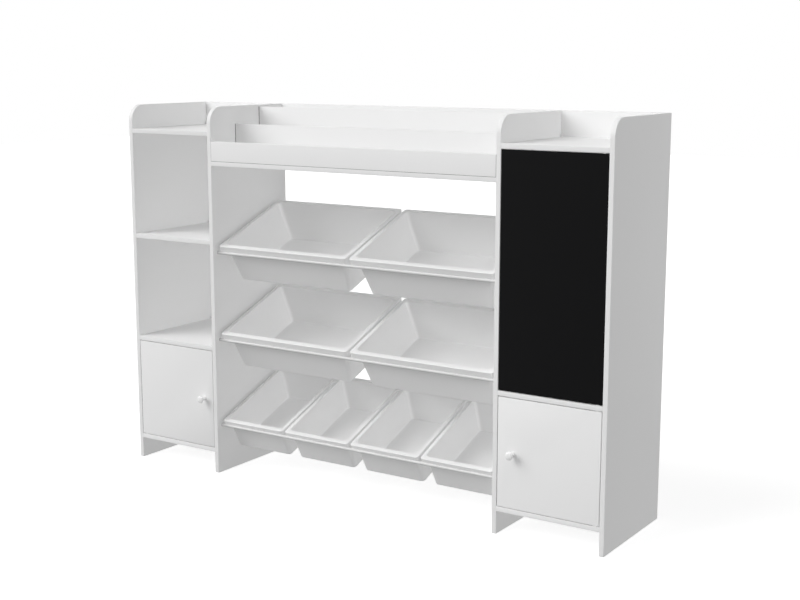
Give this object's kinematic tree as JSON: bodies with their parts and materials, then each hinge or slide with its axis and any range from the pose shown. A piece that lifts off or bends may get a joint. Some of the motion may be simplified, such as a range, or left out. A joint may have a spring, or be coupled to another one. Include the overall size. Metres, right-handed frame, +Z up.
{
  "type": "children's bookshelf",
  "caption": "Low white bookshelf and toy organiser for children: stepped book display over lift-out tilted bins, between two shelf towers with cupboard doors and a chalkboard door.",
  "frame": {"origin": "on the floor, midway across the width and midway through the whole depth, knobs included", "axes": "+X to the right seen from the front, +Y to the back (the doors and the low side of the bins face -Y), +Z up"},
  "size_m": [1.45, 0.34, 1],
  "materials": {
    "white_board": "white laminate on board, satin",
    "bin_plastic": "moulded white, fine texture",
    "rail_paint": "white powder coat",
    "chalkboard": "matte black chalkboard paint on board",
    "knob_paint": "gloss white",
    "fitting_plastic": "white moulded",
    "dark_plastic": "black moulded",
    "dowel_wood": "bare beech",
    "zinc": "zinc plated"
  },
  "bodies": {
    "carcass": {"side_panel_left": "white_board", "divider_left": "white_board", "divider_right": "white_board", "side_panel_right": "white_board", "left_bottom_shelf": "white_board", "left_lower_shelf": "white_board", "left_upper_shelf": "white_board", "left_tray_shelf": "white_board", "left_back_board": "white_board", "right_bottom_shelf": "white_board", "right_lower_shelf": "white_board", "right_inner_shelf": "white_board", "right_tray_shelf": "white_board", "right_back_board": "white_board", "display_floor": "white_board", "display_lip": "white_board", "display_front_step": "white_board", "display_rear_step": "white_board", "display_back_board": "white_board", "front_rail_low": "rail_paint", "front_rail_middle": "rail_paint", "front_rail_high": "rail_paint", "back_rail_low": "rail_paint", "back_rail_middle": "rail_paint", "back_rail_high": "rail_paint", "rail_inserts": "zinc", "rail_bolts": "zinc", "pivot_bushes": "fitting_plastic", "left_catch": "fitting_plastic", "right_catch": "fitting_plastic", "push_latch_case": "fitting_plastic", "catch_screws": "zinc", "cams": "zinc", "cam_bolts": "zinc", "dowels": "dowel_wood", "board_screws": "zinc"},
    "left_door": {"left_door": "white_board", "left_door_pins": "zinc", "left_knob": "knob_paint", "left_knob_screw": "zinc", "left_strike_plate": "zinc"},
    "right_door": {"right_door": "white_board", "right_door_pins": "zinc", "right_knob": "knob_paint", "right_knob_screw": "zinc", "right_strike_plate": "zinc"},
    "chalkboard_door": {"chalkboard_door": "chalkboard", "chalkboard_door_pins": "zinc", "chalkboard_strike_plate": "zinc"},
    "latch_plunger": {"push_latch_plunger": "dark_plastic"},
    "bin_high_left": {"bin_high_left": "bin_plastic"},
    "bin_high_right": {"bin_high_right": "bin_plastic"},
    "bin_middle_left": {"bin_middle_left": "bin_plastic"},
    "bin_middle_right": {"bin_middle_right": "bin_plastic"},
    "bin_low_1": {"bin_low_1": "bin_plastic"},
    "bin_low_2": {"bin_low_2": "bin_plastic"},
    "bin_low_3": {"bin_low_3": "bin_plastic"},
    "bin_low_4": {"bin_low_4": "bin_plastic"}
  },
  "joints": [
    {"name": "left_door_hinge", "type": "hinge", "parent": "carcass", "child": "left_door", "pos_m": [-0.699, -0.14, 0.20625], "axis": [0, 0, -1], "range_deg": [0, 110]},
    {"name": "right_door_hinge", "type": "hinge", "parent": "carcass", "child": "right_door", "pos_m": [0.699, -0.14, 0.20625], "axis": [0, 0, 1], "range_deg": [0, 110]},
    {"name": "chalkboard_door_hinge", "type": "hinge", "parent": "carcass", "child": "chalkboard_door", "pos_m": [0.699, -0.14, 0.63925], "axis": [0, 0, 1], "range_deg": [0, 110]},
    {"name": "latch_plunger_slide", "type": "slide", "parent": "carcass", "child": "latch_plunger", "axis": [0, 1, 0], "range_m": [0, 0.003], "stiffness_N_per_m": 300, "springref_m": -0.004},
    {"name": "bin_high_left_lift", "type": "slide", "parent": "carcass", "child": "bin_high_left", "axis": [0, -0.3609, 0.9326], "range_m": [0, 0.1]},
    {"name": "bin_high_right_lift", "type": "slide", "parent": "carcass", "child": "bin_high_right", "axis": [0, -0.3609, 0.9326], "range_m": [0, 0.1]},
    {"name": "bin_middle_left_lift", "type": "slide", "parent": "carcass", "child": "bin_middle_left", "axis": [0, -0.3609, 0.9326], "range_m": [0, 0.1]},
    {"name": "bin_middle_right_lift", "type": "slide", "parent": "carcass", "child": "bin_middle_right", "axis": [0, -0.3609, 0.9326], "range_m": [0, 0.1]},
    {"name": "bin_low_1_lift", "type": "slide", "parent": "carcass", "child": "bin_low_1", "axis": [0, -0.3609, 0.9326], "range_m": [0, 0.09]},
    {"name": "bin_low_2_lift", "type": "slide", "parent": "carcass", "child": "bin_low_2", "axis": [0, -0.3609, 0.9326], "range_m": [0, 0.09]},
    {"name": "bin_low_3_lift", "type": "slide", "parent": "carcass", "child": "bin_low_3", "axis": [0, -0.3609, 0.9326], "range_m": [0, 0.09]},
    {"name": "bin_low_4_lift", "type": "slide", "parent": "carcass", "child": "bin_low_4", "axis": [0, -0.3609, 0.9326], "range_m": [0, 0.09]}
  ]
}
